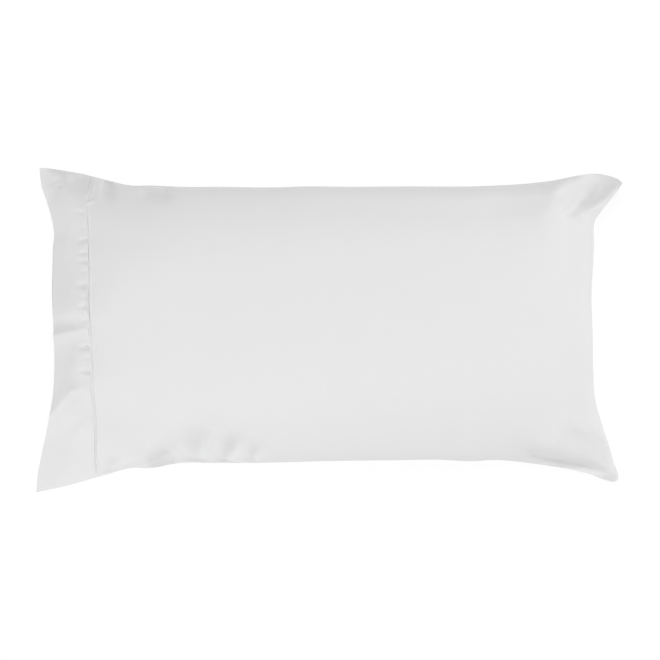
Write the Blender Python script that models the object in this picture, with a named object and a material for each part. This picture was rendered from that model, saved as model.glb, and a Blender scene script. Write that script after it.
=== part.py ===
"""A hemmed pillowcase with its pillow inside, lying on its back with its open end towards -X.

The case is a bag of white cotton, cut 900 x 500 mm, sewn along both long sides and closed at +X.
Its open end is folded back into a 100 mm hem and stitched down. The case and the pillow that fills
it are one closed solid: a crowned upper face, a lower face that is flat where it rests, sides that
pull in between four soft corners, and a narrow slot between the two lips of the hem.

Metres, +Z up. The origin is under the middle, on the surface that the pillow rests on.
"""

from collections import namedtuple

import bmesh
import bpy
import numpy as np

# Driving dimensions
LENGTH = 0.9102  # along X, between the tips of the corners
WIDTH = 0.5046  # along Y, between the tips of the corners
SEAM_THICKNESS = 0.002  # the turned-in cloth of a seam, four layers
LIP_THICKNESS = 0.0012  # a hem's two layers
SLOT_HEIGHT = 0.003  # between the two lips, where the mouth stands open
SLOT_DEPTH_COLUMNS = 4  # columns of faces that the slot reaches in from the open end
SLOT_MARGIN_ROWS = 4  # rows of faces between the slot's ends and the side seams
STITCH_DEPTH = 0.0016  # how far the hem's stitch line pulls the cloth in
STITCH_WIDTH = 0.005
SQUARENESS = 2.4  # how flat the crown runs before it turns down to the side seams
REST_ACROSS = 0.70  # share of the half width that lies flat on the surface
REST_ALONG = 0.84  # share of the length that lies flat, from the open end
CORNER_POWER = 3.0  # how square the filling's corners are, seen from above
UNDER_START = 2.2  # how slowly the underside leaves the surface
UNDER_END = 0.58  # how steeply it meets the seams, 0.5 being upright
SEAM_PULL = 0.0035  # how far a seam holds the cloth beside it taut
SHARP_ANGLE = 0.9  # radians, above which an edge stays sharp: the seams and the lips
COTTON_WHITE = (0.84, 0.84, 0.845, 1.0)
COTTON_ROUGHNESS = 0.85

HEM_COLUMNS = 9  # faces along the hem
BODY_COLUMNS = 40  # faces from the stitch line to the closed end
ROWS = 44  # faces across

# A side from its -X or -Y end: the fraction of its length, how far it is drawn in from the box, and
# the height of its seam.
Seam = namedtuple("Seam", "along inset height")
FAR_SEAM = (
    Seam(0.000, 0.0000, 0.0020),
    Seam(0.017, 0.0010, 0.0030),
    Seam(0.035, 0.0034, 0.0050),
    Seam(0.077, 0.0103, 0.0130),
    Seam(0.118, 0.0201, 0.0280),
    Seam(0.161, 0.0288, 0.0430),
    Seam(0.191, 0.0289, 0.0500),
    Seam(0.242, 0.0310, 0.0580),
    Seam(0.320, 0.0313, 0.0630),
    Seam(0.400, 0.0323, 0.0670),
    Seam(0.460, 0.0308, 0.0690),
    Seam(0.540, 0.0314, 0.0700),
    Seam(0.620, 0.0308, 0.0690),
    Seam(0.756, 0.0302, 0.0640),
    Seam(0.841, 0.0256, 0.0530),
    Seam(0.884, 0.0207, 0.0540),
    Seam(0.910, 0.0160, 0.0570),
    Seam(0.931, 0.0123, 0.0520),
    Seam(0.954, 0.0099, 0.0320),
    Seam(0.971, 0.0116, 0.0260),
    Seam(0.987, 0.0158, 0.0280),
    Seam(0.995, 0.0198, 0.0360),
    Seam(1.000, 0.0246, 0.0440),
)
NEAR_SEAM = (
    Seam(0.000, 0.0000, 0.0020),
    Seam(0.041, 0.0076, 0.0030),
    Seam(0.083, 0.0180, 0.0060),
    Seam(0.124, 0.0286, 0.0100),
    Seam(0.160, 0.0378, 0.0160),
    Seam(0.200, 0.0384, 0.0270),
    Seam(0.240, 0.0454, 0.0400),
    Seam(0.320, 0.0468, 0.0580),
    Seam(0.400, 0.0475, 0.0630),
    Seam(0.500, 0.0500, 0.0660),
    Seam(0.620, 0.0513, 0.0650),
    Seam(0.700, 0.0518, 0.0610),
    Seam(0.742, 0.0496, 0.0570),
    Seam(0.795, 0.0511, 0.0480),
    Seam(0.850, 0.0459, 0.0320),
    Seam(0.902, 0.0389, 0.0180),
    Seam(0.936, 0.0329, 0.0110),
    Seam(0.957, 0.0277, 0.0085),
    Seam(0.971, 0.0224, 0.0070),
    Seam(0.985, 0.0182, 0.0060),
    Seam(0.992, 0.0169, 0.0055),
    Seam(1.000, 0.0191, 0.0052),
)
MOUTH_EDGE = (
    Seam(0.000, 0.0000, 0.0020),
    Seam(0.051, 0.0023, 0.0028),
    Seam(0.116, 0.0084, 0.0034),
    Seam(0.200, 0.0176, 0.0038),
    Seam(0.284, 0.0250, 0.0040),
    Seam(0.408, 0.0282, 0.0040),
    Seam(0.500, 0.0272, 0.0040),
    Seam(0.570, 0.0258, 0.0040),
    Seam(0.631, 0.0256, 0.0040),
    Seam(0.695, 0.0262, 0.0040),
    Seam(0.750, 0.0264, 0.0040),
    Seam(0.795, 0.0280, 0.0038),
    Seam(0.845, 0.0239, 0.0034),
    Seam(0.900, 0.0156, 0.0030),
    Seam(0.940, 0.0086, 0.0025),
    Seam(1.000, 0.0047, 0.0020),
)
CLOSED_SEAM = (
    Seam(0.000, 0.0067, 0.0052),
    Seam(0.010, 0.0053, 0.0065),
    Seam(0.020, 0.0057, 0.0075),
    Seam(0.033, 0.0074, 0.0095),
    Seam(0.068, 0.0135, 0.0160),
    Seam(0.087, 0.0158, 0.0200),
    Seam(0.168, 0.0284, 0.0370),
    Seam(0.210, 0.0347, 0.0440),
    Seam(0.251, 0.0404, 0.0500),
    Seam(0.285, 0.0436, 0.0534),
    Seam(0.363, 0.0460, 0.0590),
    Seam(0.503, 0.0474, 0.0620),
    Seam(0.626, 0.0490, 0.0620),
    Seam(0.745, 0.0460, 0.0620),
    Seam(0.809, 0.0453, 0.0620),
    Seam(0.851, 0.0455, 0.0610),
    Seam(0.873, 0.0437, 0.0600),
    Seam(0.896, 0.0366, 0.0580),
    Seam(0.930, 0.0249, 0.0570),
    Seam(0.964, 0.0122, 0.0570),
    Seam(0.985, 0.0046, 0.0530),
    Seam(1.000, 0.0000, 0.0450),
)

# The hem's stitch line: the fraction of the width from -Y, and of the length from the open end.
Stitch = namedtuple("Stitch", "along reach")
STITCH_LINE = (
    Stitch(0.000, 0.1070),
    Stitch(0.080, 0.0990),
    Stitch(0.190, 0.0900),
    Stitch(0.300, 0.0778),
    Stitch(0.420, 0.0736),
    Stitch(0.530, 0.0728),
    Stitch(0.650, 0.0724),
    Stitch(0.750, 0.0700),
    Stitch(0.800, 0.0676),
    Stitch(0.850, 0.0706),
    Stitch(0.893, 0.0756),
    Stitch(0.915, 0.0810),
    Stitch(0.955, 0.0905),
    Stitch(1.000, 0.0950),
)

# The upper face along the middle: the fraction of the length from the open end, the height, the
# power that the bow across is raised to (small is boxy, large is pointed), and the share by which
# the face stands higher towards the far side than in the middle.
Crown = namedtuple("Crown", "along height power lean")
CROWN = (
    Crown(0.000, 0.0080, 0.12, 0.00),
    Crown(0.012, 0.0230, 0.22, 0.12),
    Crown(0.026, 0.0420, 0.38, 0.27),
    Crown(0.042, 0.0620, 0.48, 0.35),
    Crown(0.058, 0.0775, 0.54, 0.38),
    Crown(0.072, 0.0880, 0.58, 0.36),
    Crown(0.110, 0.1085, 0.60, 0.30),
    Crown(0.180, 0.1280, 0.62, 0.18),
    Crown(0.300, 0.1430, 0.63, 0.07),
    Crown(0.500, 0.1500, 0.63, 0.00),
    Crown(0.680, 0.1470, 0.63, 0.00),
    Crown(0.800, 0.1380, 0.62, 0.00),
    Crown(0.880, 0.1250, 0.60, 0.00),
    Crown(0.930, 0.1110, 0.57, 0.00),
    Crown(0.965, 0.0950, 0.54, 0.00),
    Crown(0.988, 0.0770, 0.51, 0.00),
    Crown(1.000, 0.0620, 0.50, 0.00),
)

# A soft fold of the upper face along a path of (x, y) points: its height (negative for a trough), its
# width on the right and on the left of the path, and its strength at either end.
Fold = namedtuple("Fold", "path height right left start end")
HEM_RIDGE = ((-0.432, -0.132), (-0.421, -0.118), (-0.410, -0.106), (-0.399, -0.096), (-0.373, -0.092))
FOLDS = (
    # The hem: a ridge straight across at the middle, a long slanting one with the swell under it, and a
    # low broad one on the far side.
    Fold(((-0.434, -0.010), (-0.412, -0.005), (-0.380, 0.001)), 0.0150, 0.014, 0.009, 1.0, 0.4),
    Fold(HEM_RIDGE, 0.0130, 0.014, 0.012, 1.0, 0.3),
    Fold(HEM_RIDGE, 0.0080, 0.020, 0.040, 0.8, 0.8),
    Fold(((-0.428, 0.026), (-0.400, 0.029), (-0.380, 0.031)), 0.0120, 0.012, 0.044, 0.5, 0.4),
    Fold(((-0.392, 0.232), (-0.374, 0.228)), -0.0130, 0.012, 0.010, 0.8, 0.8),
    # Near side, close to the hem: a full ridge, then valleys that lean towards the closed end.
    Fold(((-0.298, -0.208), (-0.277, -0.183), (-0.252, -0.162)), 0.0090, 0.010, 0.022, 0.8, 0.2),
    Fold(((-0.263, -0.206), (-0.247, -0.195), (-0.236, -0.185)), -0.0240, 0.012, 0.014, 1.0, 0.3),
    Fold(((-0.200, -0.203), (-0.194, -0.181), (-0.181, -0.152)), -0.0300, 0.012, 0.026, 0.5, 0.3),
    Fold(((-0.160, -0.202), (-0.148, -0.186), (-0.128, -0.161)), -0.0270, 0.012, 0.021, 0.5, 0.2),
    Fold(((-0.124, -0.205), (-0.109, -0.186), (-0.097, -0.174)), -0.0180, 0.012, 0.018, 0.5, 0.1),
    # Far side, close to the hem: dents behind the stitch line.
    Fold(((-0.342, 0.224), (-0.341, 0.206)), -0.0180, 0.010, 0.010, 1.0, 0.4),
    Fold(((-0.300, 0.214), (-0.270, 0.211), (-0.254, 0.211)), -0.0180, 0.012, 0.010, 0.2, 1.0),
    # Far ear of the closed end: a valley that runs up into it, and a ridge beside the valley.
    Fold(((0.372, 0.182), (0.401, 0.201), (0.424, 0.224), (0.433, 0.231)), -0.0160, 0.009, 0.012, 0.6, 1.0),
    Fold(((0.392, 0.176), (0.419, 0.197), (0.443, 0.219)), 0.0060, 0.009, 0.010, 0.4, 0.8),
    # Near ear of the closed end: a soft fold above it, and a full roll above a valley along the seam.
    Fold(((0.360, -0.141), (0.390, -0.151), (0.428, -0.163)), 0.0060, 0.012, 0.016, 0.2, 0.8),
    Fold(((0.315, -0.178), (0.345, -0.184), (0.368, -0.195)), 0.0150, 0.012, 0.030, 0.3, 0.5),
    Fold(((0.318, -0.196), (0.367, -0.209), (0.428, -0.229)), -0.0240, 0.008, 0.010, 0.4, 0.8),
)

# Broad hollows, which press the filled face towards the level of its seams, given like the folds: the
# empty corners by the hem, and both ears of the closed end beside the long seams.
NEAR_CORNER = ((-0.450, -0.200), (-0.390, -0.175), (-0.340, -0.195), (-0.285, -0.216))
HOLLOWS = (
    Fold(NEAR_CORNER, -0.0620, 0.060, 0.050, 1.0, 0.5),
    Fold(((-0.450, 0.244), (-0.438, 0.216)), -0.0300, 0.020, 0.020, 1.0, 0.6),
    Fold(((0.350, 0.222), (0.385, 0.230), (0.425, 0.228)), -0.0200, 0.020, 0.020, 0.4, 1.0),
    Fold(((0.372, -0.215), (0.405, -0.224), (0.440, -0.233)), -0.0200, 0.010, 0.010, 0.2, 1.0),
)

# Seams that curl up, both faces together: the near ear of the closed end, and its tip.
CURLS = (
    Fold(((0.350, -0.211), (0.382, -0.218), (0.445, -0.234)), 0.0100, 0.012, 0.012, 0.2, 1.0),
    Fold(((0.440, -0.234), (0.447, -0.231)), 0.0150, 0.016, 0.016, 1.0, 1.0),
)


def column(rows, name, at):
    """One column of a table at the fractions `at`, on a smooth curve through its rows."""
    along = np.array([row.along for row in rows])
    value = np.array([getattr(row, name) for row in rows])
    slope = np.gradient(value, along)
    left = np.clip(np.searchsorted(along, at) - 1, 0, len(rows) - 2)
    span = along[left + 1] - along[left]
    f = (at - along[left]) / span
    start = (1 + 2 * f) * (1 - f) ** 2 * value[left] + f * (1 - f) ** 2 * span * slope[left]
    end = f * f * (3 - 2 * f) * value[left + 1] - f * f * (1 - f) * span * slope[left + 1]
    return start + end


def long_side(rows, s, sign):
    """Points of the side seam at +Y (sign 1) or -Y (sign -1), at the fractions s of the length."""
    row = -1 if sign > 0 else 0
    x_start = -LENGTH / 2 + MOUTH_EDGE[row].inset
    x_end = LENGTH / 2 - CLOSED_SEAM[row].inset
    x = x_start + (x_end - x_start) * s
    y = sign * (WIDTH / 2 - column(rows, "inset", s))
    return np.stack((x, y, column(rows, "height", s)), axis=-1)


def short_side(rows, t, sign):
    """Points of the closed end at +X (sign 1) or the open end (sign -1), at the fractions t."""
    row = -1 if sign > 0 else 0
    y_start = -WIDTH / 2 + NEAR_SEAM[row].inset
    y_end = WIDTH / 2 - FAR_SEAM[row].inset
    x = sign * (LENGTH / 2 - column(rows, "inset", t))
    y = y_start + (y_end - y_start) * t
    return np.stack((x, y, column(rows, "height", t)), axis=-1)


def seam_surface(s, t):
    """Points of the smooth surface that spans the four sides."""
    zero, one = np.zeros_like(s), np.ones_like(s)
    near, far = long_side(NEAR_SEAM, s, -1), long_side(FAR_SEAM, s, 1)
    mouth, closed = short_side(MOUTH_EDGE, t, -1), short_side(CLOSED_SEAM, t, 1)
    s, t = s[..., None], t[..., None]
    corners = (1 - t) * (
        (1 - s) * long_side(NEAR_SEAM, zero, -1) + s * long_side(NEAR_SEAM, one, -1)
    ) + t * ((1 - s) * long_side(FAR_SEAM, zero, 1) + s * long_side(FAR_SEAM, one, 1))
    points = (1 - t) * near + t * far + (1 - s) * mouth + s * closed - corners
    points[..., 2] += fold_height(CURLS, points)
    return points


def smooth(edge0, edge1, x):
    """A smooth step from 0 at edge0 to 1 at edge1."""
    f = np.clip((x - edge0) / (edge1 - edge0), 0, 1)
    return f * f * (3 - 2 * f)


def fold_height(folds, points):
    """The sum of the folds at each point's x and y."""
    return sum(single_fold_height(fold, points) for fold in folds)


def single_fold_height(fold, points):
    """The height of one fold, which fades towards its ends to the strengths given."""
    path = np.array(fold.path)
    runs = np.diff(path, axis=0)
    lengths = np.linalg.norm(runs, axis=1)
    nearest = np.full(points.shape[:-1], np.inf)
    along, side = np.zeros_like(nearest), np.zeros_like(nearest)
    for start, run, size, before in zip(path, runs, lengths, np.cumsum(lengths) - lengths):
        offset = points[..., :2] - start
        f = np.clip(offset @ run / size**2, 0, 1)
        distance = np.linalg.norm(offset - f[..., None] * run, axis=-1)
        closer = distance < nearest
        nearest = np.where(closer, distance, nearest)
        along = np.where(closer, (before + f * size) / lengths.sum(), along)
        side = np.where(closer, (run[0] * offset[..., 1] - run[1] * offset[..., 0]) / size, side)
    leftness = smooth(-1, 1, side / np.maximum(nearest, 1e-9))
    width = fold.right + (fold.left - fold.right) * leftness
    strength = 1 - (1 - fold.start) * smooth(0.45, 0, along) - (1 - fold.end) * smooth(0.55, 1, along)
    return fold.height * strength * np.exp(-((nearest / width) ** 2))


def pressed(thickness, change, least):
    """A thickness with a change added, which never presses it below the least one."""
    spare = np.maximum(thickness - least, 1e-6)
    thinner = thickness - spare * (1 - np.exp(np.minimum(change, 0) / spare))
    return np.where(change < 0, thinner, thickness + change)


def clear_of_seams(s, t):
    """1 over the face, falling to 0 at the seams."""
    to_seam = np.minimum(np.minimum(t, 1 - t) * WIDTH, (1 - s) * LENGTH)
    return smooth(0, SEAM_PULL, to_seam)


def lower_face(s, t):
    """Points of the underside: flat on the surface, and curving up to the seams."""
    points = seam_surface(s, t)
    side = np.clip((np.abs(2 * t - 1) - REST_ACROSS) / (1 - REST_ACROSS), 0, 1)
    end = np.clip((s - REST_ALONG) / (1 - REST_ALONG), 0, 1)
    rim = np.minimum((side**CORNER_POWER + end**CORNER_POWER) ** (1 / CORNER_POWER), 1)
    lift = 1 - (1 - rim**UNDER_START) ** UNDER_END
    points[..., 2] = (points[..., 2] - SEAM_THICKNESS / 2) * lift
    return points


def upper_face(s, t, low):
    """Points of the crowned upper face, with its folds and the hem's stitch line."""
    points = seam_surface(s, t)
    middle = seam_surface(s, np.full_like(t, 0.5))[..., 2]
    bow = np.maximum(1 - np.abs(2 * t - 1) ** SQUARENESS, 0) ** column(CROWN, "power", s)
    bow *= 1 + column(CROWN, "lean", s) * (t - 0.5)
    filling = (column(CROWN, "height", s) - middle) * bow
    points[..., 2] += pressed(filling, fold_height(HOLLOWS, points), 0) + SEAM_THICKNESS / 2
    from_stitches = (s - column(STITCH_LINE, "reach", t)) * LENGTH
    channel = STITCH_DEPTH * np.exp(-((from_stitches / STITCH_WIDTH) ** 2))
    change = (fold_height(FOLDS, points) - channel) * clear_of_seams(s, t)
    points[..., 2] = low[..., 2] + pressed(points[..., 2] - low[..., 2], change, SEAM_THICKNESS)
    return points


def closer_at_ends(count):
    """Fractions from 0 to 1 in so many steps, which are half as long at both ends."""
    j = np.arange(count + 1) / count
    return 0.5 * j + 0.25 * (1 - np.cos(np.pi * j))


def grid_fractions():
    """Fractions (s, t) of every grid point, with one column of points on the stitch line."""
    t = closer_at_ends(ROWS)
    stitches = column(STITCH_LINE, "reach", t)
    hem = np.linspace(0, 1, HEM_COLUMNS + 1)[:, None] * stitches
    body = stitches + (1 - stitches) * closer_at_ends(BODY_COLUMNS)[1:, None]
    s = np.concatenate((hem, body))
    return s, np.broadcast_to(t, s.shape)


def slot_faces(upper, lower):
    """Points of the slot's roof and floor, under the upper lip and clear of the lower one."""
    fall = np.gradient(upper[..., 2], axis=0) / np.gradient(upper[..., 0], axis=0)
    reach = slice(0, SLOT_DEPTH_COLUMNS + 1), slice(SLOT_MARGIN_ROWS, ROWS - SLOT_MARGIN_ROWS + 1)
    slant = np.hypot(1, fall[reach])
    roof, floor = upper[reach].copy(), upper[reach].copy()
    roof[..., 2] -= slant * LIP_THICKNESS
    floor[..., 2] -= slant * (LIP_THICKNESS + SLOT_HEIGHT)
    floor[..., 2] = np.maximum(floor[..., 2], lower[reach][..., 2] + LIP_THICKNESS)
    return roof, floor


def stood_on_origin(faces):
    """The faces moved so that the middle of their box's base is at the origin."""
    every = np.concatenate([face.reshape(-1, 3) for face in faces])
    low, high = every.min(axis=0), every.max(axis=0)
    shift = np.array(((low[0] + high[0]) / 2, (low[1] + high[1]) / 2, low[2]))
    return [face - shift for face in faces]


def skin(bm, grid):
    """Quads over a grid of vertices."""
    for first, second in zip(grid, grid[1:]):
        bridge(bm, first, second)


def bridge(bm, first, second):
    """Quads between two lines of vertices."""
    for k in range(len(first) - 1):
        bm.faces.new((first[k], first[k + 1], second[k + 1], second[k]))


def close_slot(bm, upper, lower, roof, floor):
    """The slot between the lips, and the open end's rim around it."""
    for grid in (roof, floor):
        skin(bm, grid)
    for line in (-1, 0):
        bridge(bm, [column[line] for column in roof], [column[line] for column in floor])
    bridge(bm, roof[-1], floor[-1])
    first, last = SLOT_MARGIN_ROWS, ROWS - SLOT_MARGIN_ROWS
    bridge(bm, upper[0][first : last + 1], roof[0])
    bridge(bm, floor[0], lower[0][first : last + 1])
    for inner, outer, line in ((first, first - 1, 0), (last, last + 1, -1)):
        stack = (upper[0][inner], roof[0][line], floor[0][line], lower[0][inner])
        bm.faces.new((upper[0][outer], stack[0], stack[1]))
        bm.faces.new((upper[0][outer], stack[1], lower[0][outer]))
        bm.faces.new((lower[0][outer], stack[1], stack[2]))
        bm.faces.new((lower[0][outer], stack[2], stack[3]))
    bridge(bm, upper[0][:first], lower[0][:first])
    bridge(bm, upper[0][last + 1 :], lower[0][last + 1 :])


def build_case():
    """The filled pillowcase as one closed mesh."""
    s, t = grid_fractions()
    lower = lower_face(s, t)
    upper = upper_face(s, t, lower)
    bm = bmesh.new()
    grids = [
        [[bm.verts.new(point) for point in column] for column in face]
        for face in stood_on_origin((upper, lower, *slot_faces(upper, lower)))
    ]
    upper, lower, roof, floor = grids
    skin(bm, upper)
    skin(bm, lower)
    for row in (0, -1):
        bridge(bm, [column[row] for column in upper], [column[row] for column in lower])
    bridge(bm, upper[-1], lower[-1])
    close_slot(bm, upper, lower, roof, floor)
    bmesh.ops.recalc_face_normals(bm, faces=bm.faces)
    mesh = bpy.data.meshes.new("pillowcase")
    bm.to_mesh(mesh)
    bm.free()
    mesh.shade_smooth()
    mesh.set_sharp_from_angle(angle=SHARP_ANGLE)
    return mesh


def cotton():
    """Plain white cotton."""
    material = bpy.data.materials.new("cotton")
    material.use_nodes = True
    surface = material.node_tree.nodes["Principled BSDF"]
    surface.inputs["Base Color"].default_value = COTTON_WHITE
    surface.inputs["Roughness"].default_value = COTTON_ROUGHNESS
    surface.inputs["Metallic"].default_value = 0.0
    return material


def main():
    for old in list(bpy.data.objects):
        bpy.data.objects.remove(old)
    mesh = build_case()
    mesh.materials.append(cotton())
    case = bpy.data.objects.new("pillowcase", mesh)
    bpy.context.scene.collection.objects.link(case)


main()
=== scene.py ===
"""A hemmed white cotton pillowcase with its pillow inside, lying on its back on a pale floor.

Laid out as a Blender add-on: the sizes and colours are properties, each piece has an operator, and
the panel in the 3D view's sidebar lists them. Everything is in metres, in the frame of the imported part:
+X from the open end to the closed end, +Y across to the far seam, +Z up.
"""

import math
from collections import namedtuple

import bmesh
import bpy
import numpy as np
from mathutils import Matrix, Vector, noise


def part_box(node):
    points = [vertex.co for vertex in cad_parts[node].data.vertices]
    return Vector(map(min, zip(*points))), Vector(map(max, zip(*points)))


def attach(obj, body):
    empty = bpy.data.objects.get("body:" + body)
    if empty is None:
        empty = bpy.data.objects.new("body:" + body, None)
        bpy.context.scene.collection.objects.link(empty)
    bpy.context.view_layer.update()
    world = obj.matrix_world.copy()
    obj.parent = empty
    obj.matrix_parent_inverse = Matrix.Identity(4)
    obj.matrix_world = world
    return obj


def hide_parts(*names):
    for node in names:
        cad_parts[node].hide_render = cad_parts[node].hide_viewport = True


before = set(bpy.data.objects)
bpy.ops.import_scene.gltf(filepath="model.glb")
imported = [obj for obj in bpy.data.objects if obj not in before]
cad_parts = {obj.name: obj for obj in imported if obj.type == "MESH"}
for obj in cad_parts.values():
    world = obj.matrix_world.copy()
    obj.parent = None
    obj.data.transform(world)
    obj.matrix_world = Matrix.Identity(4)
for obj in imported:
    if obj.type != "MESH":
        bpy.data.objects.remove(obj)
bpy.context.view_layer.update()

CASE_LOW, CASE_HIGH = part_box("pillowcase")
CASE_SIZE = CASE_HIGH - CASE_LOW

bl_info = {
    "name": "Hemmed Pillowcase",
    "version": (1, 0, 0),
    "blender": (4, 5, 0),
    "location": "3D View > Sidebar > Pillowcase",
    "description": "A filled cotton pillowcase with a stitched hem, and a soft overhead studio",
    "category": "Object",
}


# ------------------------------------------------------------------------------------ tables

# A side of the lying case, from its -X or -Y end: the fraction of its length, how far it is drawn in
# from the box, and the height of its seam.
Seam = namedtuple("Seam", "along inset height")
FAR_SEAM = (
    Seam(0.000, 0.0000, 0.0020),
    Seam(0.017, 0.0010, 0.0030),
    Seam(0.035, 0.0034, 0.0050),
    Seam(0.077, 0.0103, 0.0130),
    Seam(0.118, 0.0201, 0.0280),
    Seam(0.161, 0.0288, 0.0430),
    Seam(0.191, 0.0289, 0.0500),
    Seam(0.242, 0.0310, 0.0580),
    Seam(0.320, 0.0313, 0.0630),
    Seam(0.400, 0.0323, 0.0670),
    Seam(0.460, 0.0308, 0.0690),
    Seam(0.540, 0.0314, 0.0700),
    Seam(0.620, 0.0308, 0.0690),
    Seam(0.756, 0.0302, 0.0640),
    Seam(0.841, 0.0256, 0.0530),
    Seam(0.884, 0.0207, 0.0540),
    Seam(0.910, 0.0160, 0.0570),
    Seam(0.931, 0.0123, 0.0520),
    Seam(0.954, 0.0099, 0.0320),
    Seam(0.971, 0.0116, 0.0260),
    Seam(0.987, 0.0158, 0.0280),
    Seam(0.995, 0.0198, 0.0360),
    Seam(1.000, 0.0246, 0.0440),
)
NEAR_SEAM = (
    Seam(0.000, 0.0000, 0.0020),
    Seam(0.041, 0.0076, 0.0030),
    Seam(0.083, 0.0180, 0.0060),
    Seam(0.124, 0.0286, 0.0100),
    Seam(0.160, 0.0378, 0.0160),
    Seam(0.200, 0.0384, 0.0270),
    Seam(0.240, 0.0454, 0.0400),
    Seam(0.320, 0.0468, 0.0580),
    Seam(0.400, 0.0475, 0.0630),
    Seam(0.500, 0.0500, 0.0660),
    Seam(0.620, 0.0513, 0.0650),
    Seam(0.700, 0.0518, 0.0610),
    Seam(0.742, 0.0496, 0.0570),
    Seam(0.795, 0.0511, 0.0480),
    Seam(0.850, 0.0459, 0.0320),
    Seam(0.902, 0.0389, 0.0180),
    Seam(0.936, 0.0329, 0.0110),
    Seam(0.957, 0.0277, 0.0085),
    Seam(0.971, 0.0224, 0.0070),
    Seam(0.985, 0.0182, 0.0060),
    Seam(0.992, 0.0169, 0.0055),
    Seam(1.000, 0.0191, 0.0052),
)
MOUTH_EDGE = (
    Seam(0.000, 0.0000, 0.0020),
    Seam(0.051, 0.0023, 0.0028),
    Seam(0.116, 0.0084, 0.0034),
    Seam(0.200, 0.0176, 0.0038),
    Seam(0.284, 0.0250, 0.0040),
    Seam(0.408, 0.0282, 0.0040),
    Seam(0.500, 0.0272, 0.0040),
    Seam(0.570, 0.0258, 0.0040),
    Seam(0.631, 0.0256, 0.0040),
    Seam(0.695, 0.0262, 0.0040),
    Seam(0.750, 0.0264, 0.0040),
    Seam(0.795, 0.0280, 0.0038),
    Seam(0.845, 0.0239, 0.0034),
    Seam(0.900, 0.0156, 0.0030),
    Seam(0.940, 0.0086, 0.0025),
    Seam(1.000, 0.0047, 0.0020),
)
CLOSED_SEAM = (
    Seam(0.000, 0.0067, 0.0052),
    Seam(0.010, 0.0053, 0.0065),
    Seam(0.020, 0.0057, 0.0075),
    Seam(0.033, 0.0074, 0.0095),
    Seam(0.068, 0.0135, 0.0160),
    Seam(0.087, 0.0158, 0.0200),
    Seam(0.168, 0.0284, 0.0370),
    Seam(0.210, 0.0347, 0.0440),
    Seam(0.251, 0.0404, 0.0500),
    Seam(0.285, 0.0436, 0.0534),
    Seam(0.363, 0.0460, 0.0590),
    Seam(0.503, 0.0474, 0.0620),
    Seam(0.626, 0.0490, 0.0620),
    Seam(0.745, 0.0460, 0.0620),
    Seam(0.809, 0.0453, 0.0620),
    Seam(0.851, 0.0455, 0.0610),
    Seam(0.873, 0.0437, 0.0600),
    Seam(0.896, 0.0366, 0.0580),
    Seam(0.930, 0.0249, 0.0570),
    Seam(0.964, 0.0122, 0.0570),
    Seam(0.985, 0.0046, 0.0530),
    Seam(1.000, 0.0000, 0.0450),
)

# The hem's line: the fraction of the width from -Y, of the length from the open end, how steeply the end
# of the turned-in cloth shows through, the depth of the notch in front of it, and of the stitches' groove.
Stitch = namedtuple("Stitch", "along reach step notch groove")
STITCH_LINE = (
    Stitch(0.000, 0.1070, 0.00, 0.0010, 0.0000),
    Stitch(0.040, 0.1030, 0.80, 0.0024, 0.0000),
    Stitch(0.080, 0.0990, 1.20, 0.0030, 0.0000),
    Stitch(0.130, 0.0952, 1.00, 0.0030, 0.0000),
    Stitch(0.190, 0.0900, 1.60, 0.0026, 0.0002),
    Stitch(0.240, 0.0852, 1.20, 0.0024, 0.0006),
    Stitch(0.300, 0.0778, 1.20, 0.0018, 0.0008),
    Stitch(0.360, 0.0752, 1.20, 0.0018, 0.0006),
    Stitch(0.420, 0.0736, 1.60, 0.0018, 0.0006),
    Stitch(0.480, 0.0730, 1.20, 0.0018, 0.0008),
    Stitch(0.530, 0.0728, 1.60, 0.0020, 0.0004),
    Stitch(0.590, 0.0724, 2.20, 0.0018, 0.0000),
    Stitch(0.650, 0.0724, 1.80, 0.0018, 0.0000),
    Stitch(0.700, 0.0714, 2.00, 0.0018, 0.0000),
    Stitch(0.750, 0.0700, 2.00, 0.0016, 0.0000),
    Stitch(0.800, 0.0676, 1.60, 0.0016, 0.0000),
    Stitch(0.850, 0.0706, 2.20, 0.0014, 0.0000),
    Stitch(0.893, 0.0756, 1.80, 0.0012, 0.0000),
    Stitch(0.915, 0.0810, 1.00, 0.0010, 0.0000),
    Stitch(0.955, 0.0905, 1.20, 0.0012, 0.0000),
    Stitch(1.000, 0.0950, 0.00, 0.0000, 0.0000),
)

# The upper face along the middle: the fraction of the length from the open end, the height, the
# power that the bow across is raised to (small is boxy, large is pointed), and the share by which
# the face stands higher towards the far side than in the middle.
Crown = namedtuple("Crown", "along height power lean")
CROWN = (
    Crown(0.000, 0.0080, 0.12, 0.00),
    Crown(0.012, 0.0230, 0.22, 0.12),
    Crown(0.026, 0.0420, 0.38, 0.27),
    Crown(0.042, 0.0620, 0.48, 0.35),
    Crown(0.058, 0.0775, 0.54, 0.38),
    Crown(0.072, 0.0880, 0.58, 0.36),
    Crown(0.110, 0.1085, 0.60, 0.30),
    Crown(0.180, 0.1280, 0.62, 0.18),
    Crown(0.300, 0.1430, 0.63, 0.07),
    Crown(0.500, 0.1500, 0.63, 0.00),
    Crown(0.680, 0.1470, 0.63, 0.00),
    Crown(0.800, 0.1380, 0.62, 0.00),
    Crown(0.880, 0.1250, 0.60, 0.00),
    Crown(0.930, 0.1110, 0.57, 0.00),
    Crown(0.965, 0.0950, 0.54, 0.00),
    Crown(0.988, 0.0770, 0.51, 0.00),
    Crown(1.000, 0.0620, 0.50, 0.00),
)

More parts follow.
